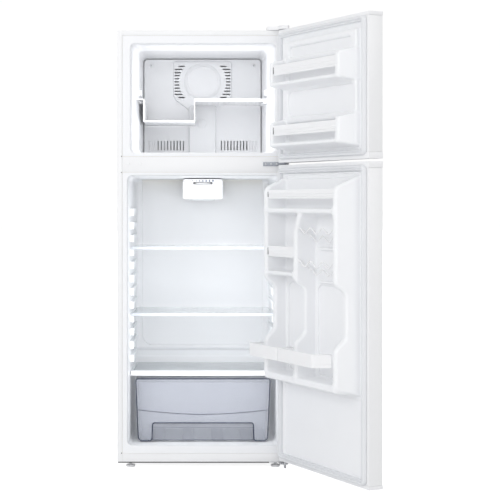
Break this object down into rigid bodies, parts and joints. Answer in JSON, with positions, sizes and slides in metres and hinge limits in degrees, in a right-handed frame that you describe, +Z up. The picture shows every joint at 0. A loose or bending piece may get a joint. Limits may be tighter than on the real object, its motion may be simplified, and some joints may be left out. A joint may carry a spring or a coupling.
{
  "type": "top freezer refrigerator",
  "caption": "White apartment-size refrigerator with a freezer above a fresh food room, its two right-hinged doors standing open.",
  "frame": {"origin": "on the floor, under the middle of the bounding box of the whole object with its doors standing open at rest", "axes": "+Z up, +X to the right of a viewer facing the open front, +Y from the front of the cabinet towards its back"},
  "size_m": [0.852, 1.16, 1.5283],
  "materials": {
    "white_steel": "gloss",
    "white_plastic": "satin",
    "liner_plastic": "satin",
    "foam": "matte",
    "zinc_steel": "satin",
    "black_plastic": "matte",
    "black_steel": "satin",
    "white_rubber": "matte",
    "fin_aluminium": "satin",
    "white_wire": "gloss",
    "shelf_glass": "gloss",
    "clear_plastic": "gloss",
    "frosted_plastic": "satin"
  },
  "bodies": {
    "cabinet": {"outer_shell": "white_steel", "back_panel": "white_steel", "cabinet_foam": "foam", "freezer_liner": "liner_plastic", "fresh_food_liner": "liner_plastic", "mullion_plate": "white_steel", "mullion_plug_outer": "white_plastic", "mullion_plug_inner": "white_plastic", "base_plate": "white_steel", "machine_base": "zinc_steel", "compressor": "black_steel", "drain_pan": "black_plastic", "machine_cover": "black_steel", "power_inlet": "black_plastic", "evaporator_cover": "liner_plastic", "fan_cover_disc": "liner_plastic", "evaporator_coil": "fin_aluminium", "fan_motor": "black_plastic", "control_housing": "white_plastic", "lamp_cover": "frosted_plastic", "top_hinge": "zinc_steel", "top_hinge_cover": "white_plastic", "middle_hinge": "zinc_steel", "bottom_hinge": "zinc_steel"},
    "freezer_door": {"freezer_door_skin": "white_steel", "freezer_door_bottom_cap": "white_plastic", "freezer_door_top_cap": "white_plastic", "freezer_door_gasket": "white_rubber", "freezer_door_liner": "liner_plastic", "freezer_door_foam": "foam", "freezer_door_upper_bar": "white_plastic", "freezer_door_lower_bar": "white_plastic"},
    "fresh_food_door": {"fresh_door_skin": "white_steel", "fresh_door_bottom_cap": "white_plastic", "fresh_door_top_cap": "white_plastic", "fresh_door_gasket": "white_rubber", "fresh_door_liner": "liner_plastic", "fresh_door_foam": "foam", "fresh_door_top_bar": "white_plastic", "fresh_door_short_bar": "white_plastic", "bottle_wire_upper": "white_wire", "bottle_wire_lower": "white_wire", "bottle_guard_hinge_side": "white_plastic", "bottle_guard_free_side": "white_plastic"},
    "freezer_shelf": {"freezer_shelf": "white_plastic"},
    "upper_shelf": {"upper_shelf_glass": "shelf_glass", "upper_shelf_trim": "clear_plastic"},
    "lower_shelf": {"lower_shelf_glass": "shelf_glass", "lower_shelf_trim": "clear_plastic"},
    "crisper_cover": {"crisper_cover_glass": "shelf_glass", "crisper_cover_trim": "white_plastic"},
    "crisper": {"crisper_drawer": "clear_plastic", "crisper_front": "clear_plastic"},
    "thermostat_dial": {"thermostat_dial": "white_plastic"},
    "light_switch": {"light_switch_button": "white_plastic"},
    "fan": {"fan_blade": "white_plastic"},
    "roller_left": {"rear_roller_left": "black_plastic"},
    "roller_right": {"rear_roller_right": "black_plastic"},
    "foot_left": {"front_foot_left": "white_plastic"},
    "foot_right": {"front_foot_right": "white_plastic"}
  },
  "joints": [
    {"name": "freezer_door_hinge", "type": "hinge", "parent": "cabinet", "child": "freezer_door", "pos_m": [0.15346, -0.04496, 1.056], "axis": [0, 0, 1], "range_deg": [-114.5, 0]},
    {"name": "fresh_food_door_hinge", "type": "hinge", "parent": "cabinet", "child": "fresh_food_door", "pos_m": [0.15346, -0.04496, 0.031], "axis": [0, 0, 1], "range_deg": [-114.5, 0]},
    {"name": "crisper_slide", "type": "slide", "parent": "cabinet", "child": "crisper", "axis": [0, -1, 0], "range_m": [0, 0.28]},
    {"name": "freezer_shelf_slide", "type": "slide", "parent": "cabinet", "child": "freezer_shelf", "axis": [0, -1, 0], "range_m": [0, 0.12]},
    {"name": "upper_shelf_slide", "type": "slide", "parent": "cabinet", "child": "upper_shelf", "axis": [0, -1, 0], "range_m": [0, 0.14]},
    {"name": "lower_shelf_slide", "type": "slide", "parent": "cabinet", "child": "lower_shelf", "axis": [0, -1, 0], "range_m": [0, 0.14]},
    {"name": "crisper_cover_slide", "type": "slide", "parent": "cabinet", "child": "crisper_cover", "axis": [0, -1, 0], "range_m": [0, 0.14]},
    {"name": "thermostat_turn", "type": "hinge", "parent": "cabinet", "child": "thermostat_dial", "pos_m": [-0.12854, 0.15504, 0.9875], "axis": [0, 0, 1], "range_deg": [-75, 75]},
    {"name": "light_switch_press", "type": "slide", "parent": "cabinet", "child": "light_switch", "axis": [0, 1, 0], "range_m": [0, 0.004], "stiffness_N_per_m": 200},
    {"name": "fan_spin", "type": "hinge", "parent": "cabinet", "child": "fan", "pos_m": [-0.12854, 0.42504, 1.368], "axis": [0, 1, 0], "continuous": true},
    {"name": "roller_left_spin", "type": "hinge", "parent": "cabinet", "child": "roller_left", "pos_m": [-0.35354, 0.54004, 0.018], "axis": [1, 0, 0], "continuous": true},
    {"name": "roller_right_spin", "type": "hinge", "parent": "cabinet", "child": "roller_right", "pos_m": [0.09646, 0.54004, 0.018], "axis": [1, 0, 0], "continuous": true},
    {"name": "foot_left_turn", "type": "hinge", "parent": "cabinet", "child": "foot_left", "pos_m": [-0.38054, 0.01504, 0], "axis": [0, 0, 1], "range_deg": [-720, 720]},
    {"name": "foot_right_turn", "type": "hinge", "parent": "cabinet", "child": "foot_right", "pos_m": [0.12346, 0.01504, 0], "axis": [0, 0, 1], "range_deg": [-720, 720]}
  ]
}
